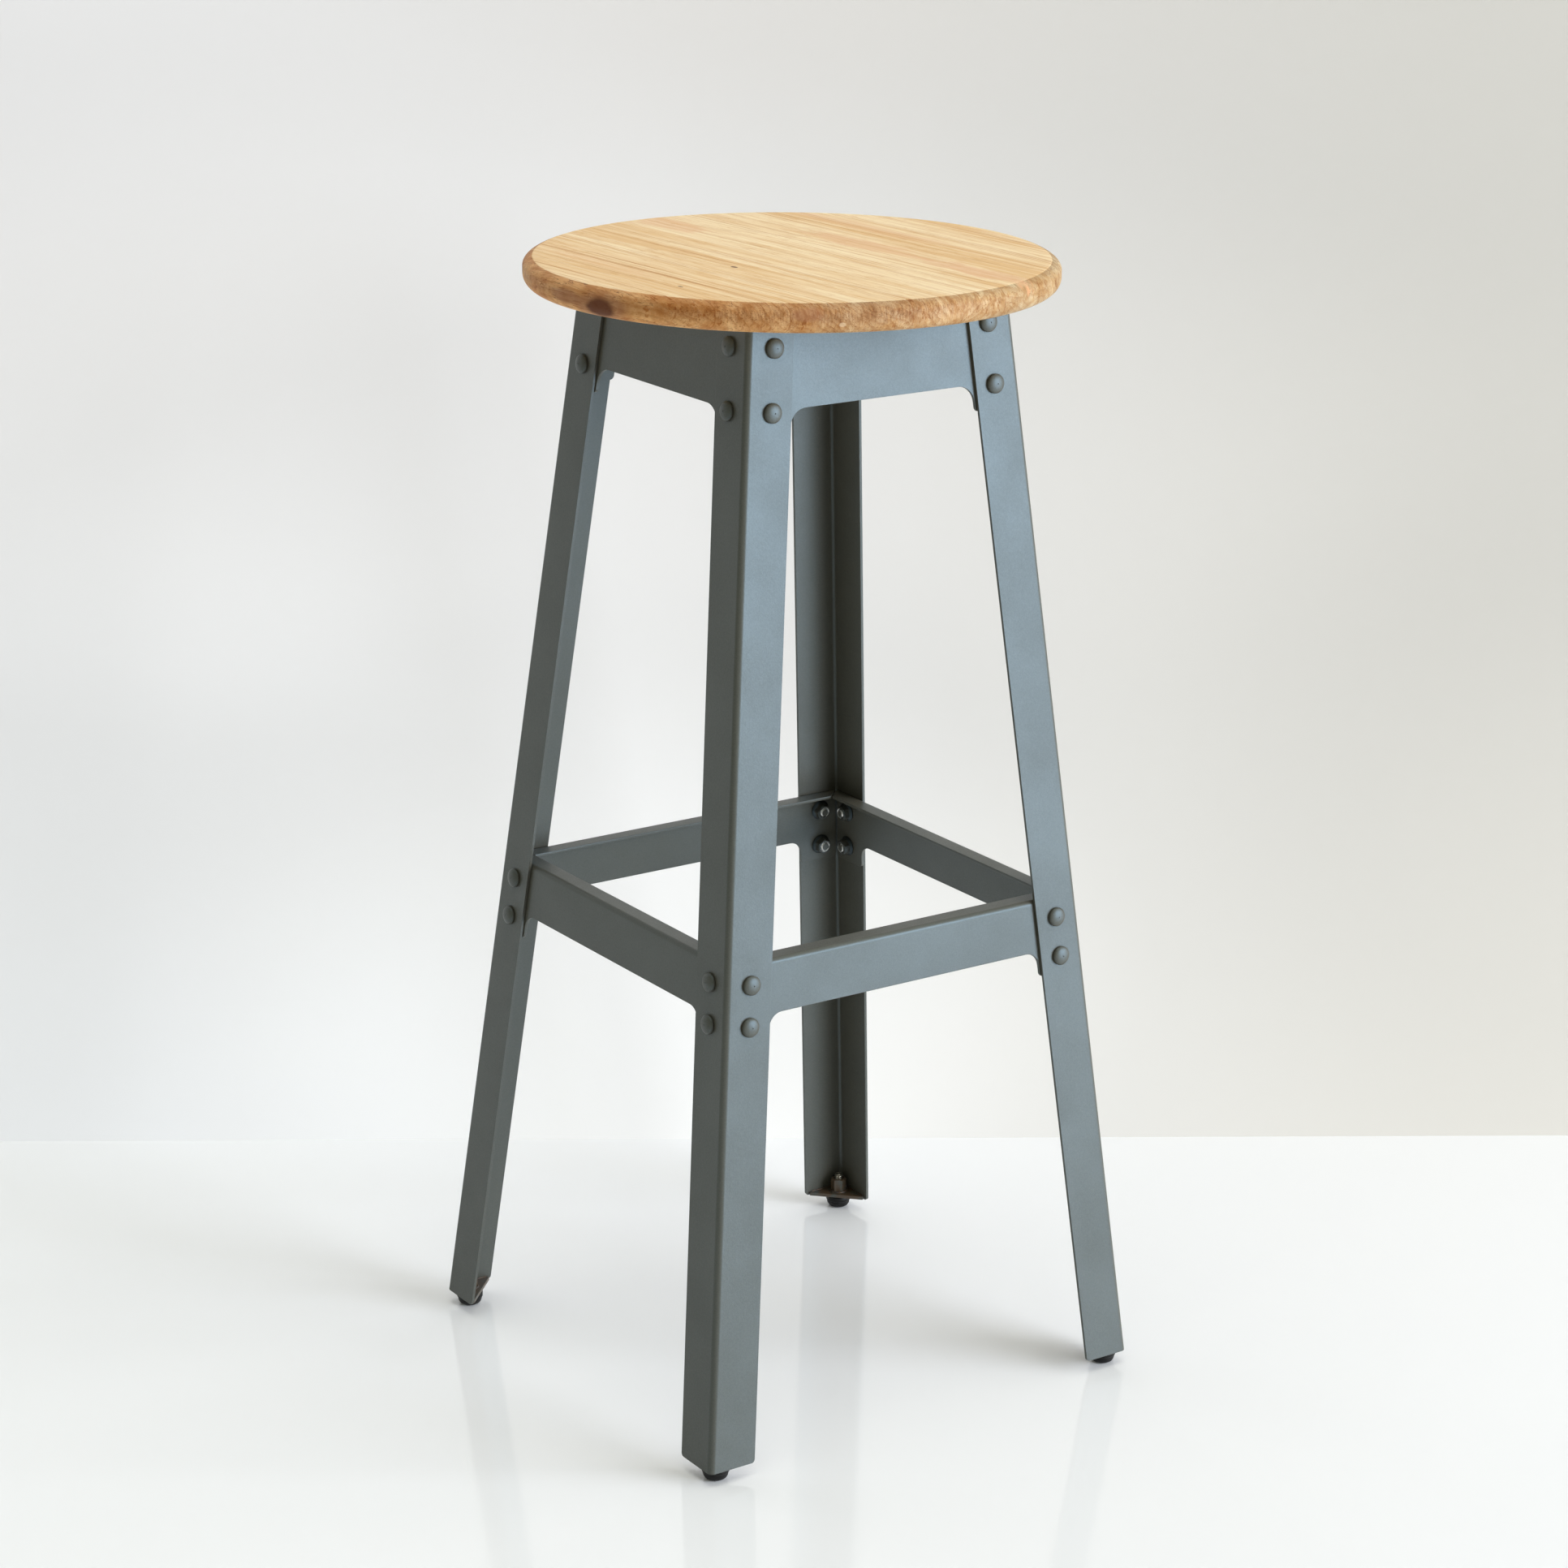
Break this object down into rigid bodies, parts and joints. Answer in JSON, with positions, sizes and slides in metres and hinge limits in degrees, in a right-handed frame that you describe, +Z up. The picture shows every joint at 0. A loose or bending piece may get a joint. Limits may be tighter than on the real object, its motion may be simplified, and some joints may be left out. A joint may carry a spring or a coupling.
{
  "type": "bar stool with footrest",
  "caption": "Bar stool with a round wooden seat on splayed sheet-steel angle legs, bolted aprons, a square footrest and screw-in levelling feet.",
  "frame": {"origin": "on the floor, under the middle of the seat", "axes": "+Z up; +X and +Y square to two neighbouring sides of the frame, with a leg in each quadrant"},
  "size_m": [0.343, 0.343, 0.75],
  "materials": {
    "seat_wood": "satin varnish",
    "leg_paint": "fine-textured powder coat",
    "rail_paint": "fine-textured powder coat",
    "fastener_paint": "painted, worn bright on the thread ends",
    "zinc_screw": "zinc plated",
    "glide_plastic": "satin, moulded"
  },
  "bodies": {
    "frame": {"seat": "seat_wood", "leg_front_left": "leg_paint", "leg_front_right": "leg_paint", "leg_rear_right": "leg_paint", "leg_rear_left": "leg_paint", "foot_plate_front_left": "leg_paint", "foot_plate_front_right": "leg_paint", "foot_plate_rear_right": "leg_paint", "foot_plate_rear_left": "leg_paint", "apron_front": "rail_paint", "apron_right": "rail_paint", "apron_rear": "rail_paint", "apron_left": "rail_paint", "footrest_rail_front": "rail_paint", "footrest_rail_right": "rail_paint", "footrest_rail_rear": "rail_paint", "footrest_rail_left": "rail_paint", "seat_screw_front": "zinc_screw", "seat_screw_right": "zinc_screw", "seat_screw_rear": "zinc_screw", "seat_screw_left": "zinc_screw", "bolt_front_apron_left_upper": "fastener_paint", "bolt_front_apron_left_lower": "fastener_paint", "bolt_front_apron_right_upper": "fastener_paint", "bolt_front_apron_right_lower": "fastener_paint", "bolt_front_rail_left_upper": "fastener_paint", "bolt_front_rail_left_lower": "fastener_paint", "bolt_front_rail_right_upper": "fastener_paint", "bolt_front_rail_right_lower": "fastener_paint", "bolt_right_apron_left_upper": "fastener_paint", "bolt_right_apron_left_lower": "fastener_paint", "bolt_right_apron_right_upper": "fastener_paint", "bolt_right_apron_right_lower": "fastener_paint", "bolt_right_rail_left_upper": "fastener_paint", "bolt_right_rail_left_lower": "fastener_paint", "bolt_right_rail_right_upper": "fastener_paint", "bolt_right_rail_right_lower": "fastener_paint", "bolt_rear_apron_left_upper": "fastener_paint", "bolt_rear_apron_left_lower": "fastener_paint", "bolt_rear_apron_right_upper": "fastener_paint", "bolt_rear_apron_right_lower": "fastener_paint", "bolt_rear_rail_left_upper": "fastener_paint", "bolt_rear_rail_left_lower": "fastener_paint", "bolt_rear_rail_right_upper": "fastener_paint", "bolt_rear_rail_right_lower": "fastener_paint", "bolt_left_apron_left_upper": "fastener_paint", "bolt_left_apron_left_lower": "fastener_paint", "bolt_left_apron_right_upper": "fastener_paint", "bolt_left_apron_right_lower": "fastener_paint", "bolt_left_rail_left_upper": "fastener_paint", "bolt_left_rail_left_lower": "fastener_paint", "bolt_left_rail_right_upper": "fastener_paint", "bolt_left_rail_right_lower": "fastener_paint"},
    "glide_front_left": {"levelling_glide_front_left": "glide_plastic"},
    "glide_front_right": {"levelling_glide_front_right": "glide_plastic"},
    "glide_rear_right": {"levelling_glide_rear_right": "glide_plastic"},
    "glide_rear_left": {"levelling_glide_rear_left": "glide_plastic"}
  },
  "joints": [
    {"name": "level_front_left", "type": "slide", "parent": "frame", "child": "glide_front_left", "axis": [0, 0, -1], "range_m": [0, 0.01]},
    {"name": "level_front_right", "type": "slide", "parent": "frame", "child": "glide_front_right", "axis": [0, 0, -1], "range_m": [0, 0.01]},
    {"name": "level_rear_right", "type": "slide", "parent": "frame", "child": "glide_rear_right", "axis": [0, 0, -1], "range_m": [0, 0.01]},
    {"name": "level_rear_left", "type": "slide", "parent": "frame", "child": "glide_rear_left", "axis": [0, 0, -1], "range_m": [0, 0.01]}
  ]
}
